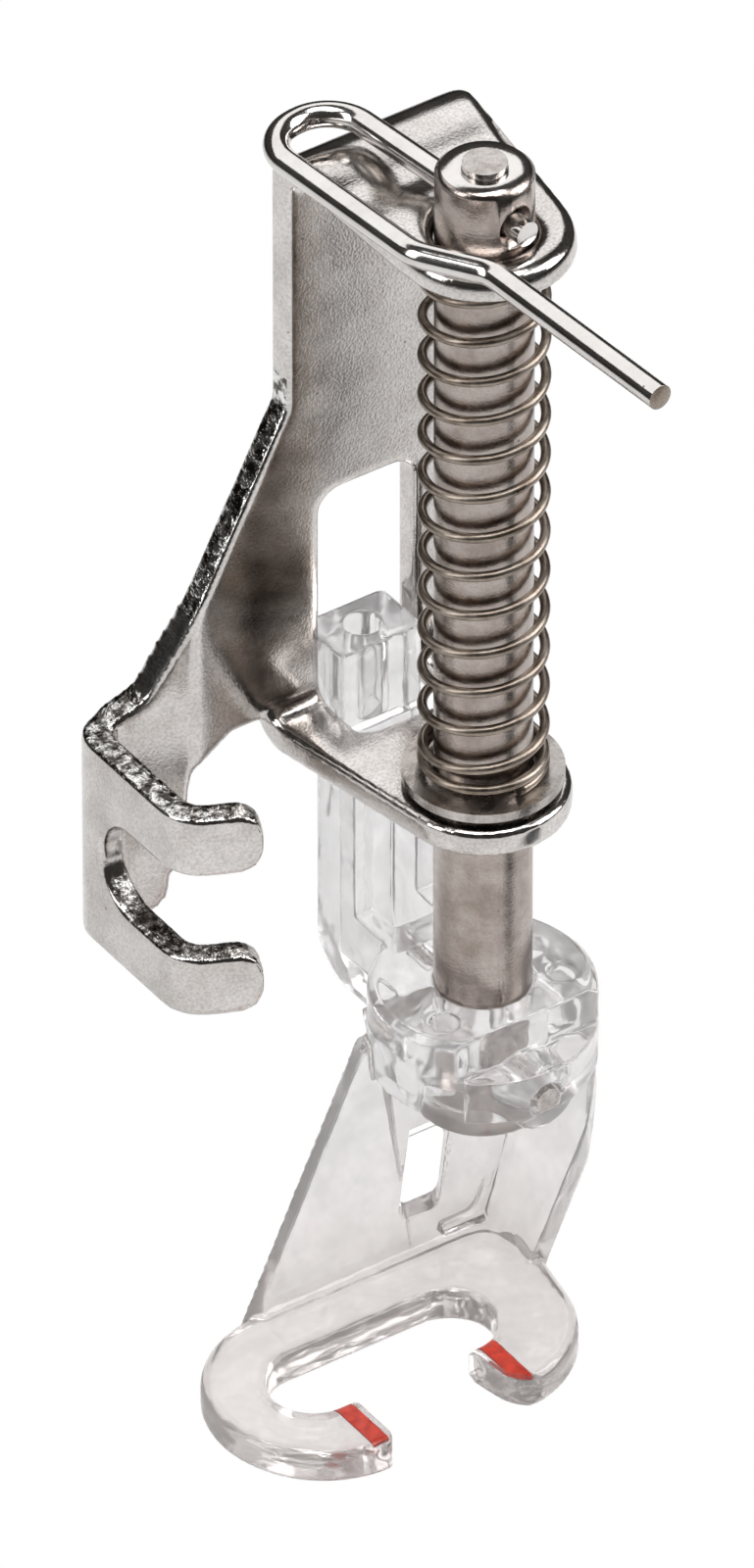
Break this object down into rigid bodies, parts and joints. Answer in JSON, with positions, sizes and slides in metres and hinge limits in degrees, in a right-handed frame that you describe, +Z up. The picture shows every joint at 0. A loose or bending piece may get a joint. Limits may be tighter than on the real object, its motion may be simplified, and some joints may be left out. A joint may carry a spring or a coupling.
{
  "type": "sewing machine presser foot",
  "caption": "Spring-loaded open-toe free-motion presser foot: a bent sheet bracket, a sliding plunger in a coil spring, a wire lifting arm and a clear toe.",
  "frame": {"origin": "on the presser bar's axis, at the height of the clamp screw", "axes": "+X to the operator's right, +Y away from the operator, +Z up along the presser bar"},
  "size_m": [0.0254, 0.03, 0.0655],
  "materials": {
    "plated_bracket": "nickel-plated stamped sheet steel",
    "plated_wire": "polished nickel-plated wire",
    "steel_shaft": "ground satin steel",
    "spring_steel": "drawn spring wire",
    "plated_washer": "zinc-plated steel",
    "clear_plastic": "clear moulded plastic",
    "red_paint": "red enamel in a shallow groove"
  },
  "bodies": {
    "bracket": {"bracket": "plated_bracket"},
    "plunger": {"plunger_shaft": "steel_shaft", "locking_pin": "steel_shaft", "lifting_arm": "plated_wire", "spring": "spring_steel", "retaining_ring": "spring_steel", "spring_washer": "plated_washer", "cross_pin": "steel_shaft", "clear_foot": "clear_plastic", "mark_left": "red_paint", "mark_right": "red_paint"}
  },
  "joints": [
    {"name": "foot_slide", "type": "slide", "parent": "bracket", "child": "plunger", "axis": [0, 0, 1], "range_m": [0, 0.0085], "stiffness_N_per_m": 150, "springref_m": -0.007, "deforming": ["spring"]}
  ]
}
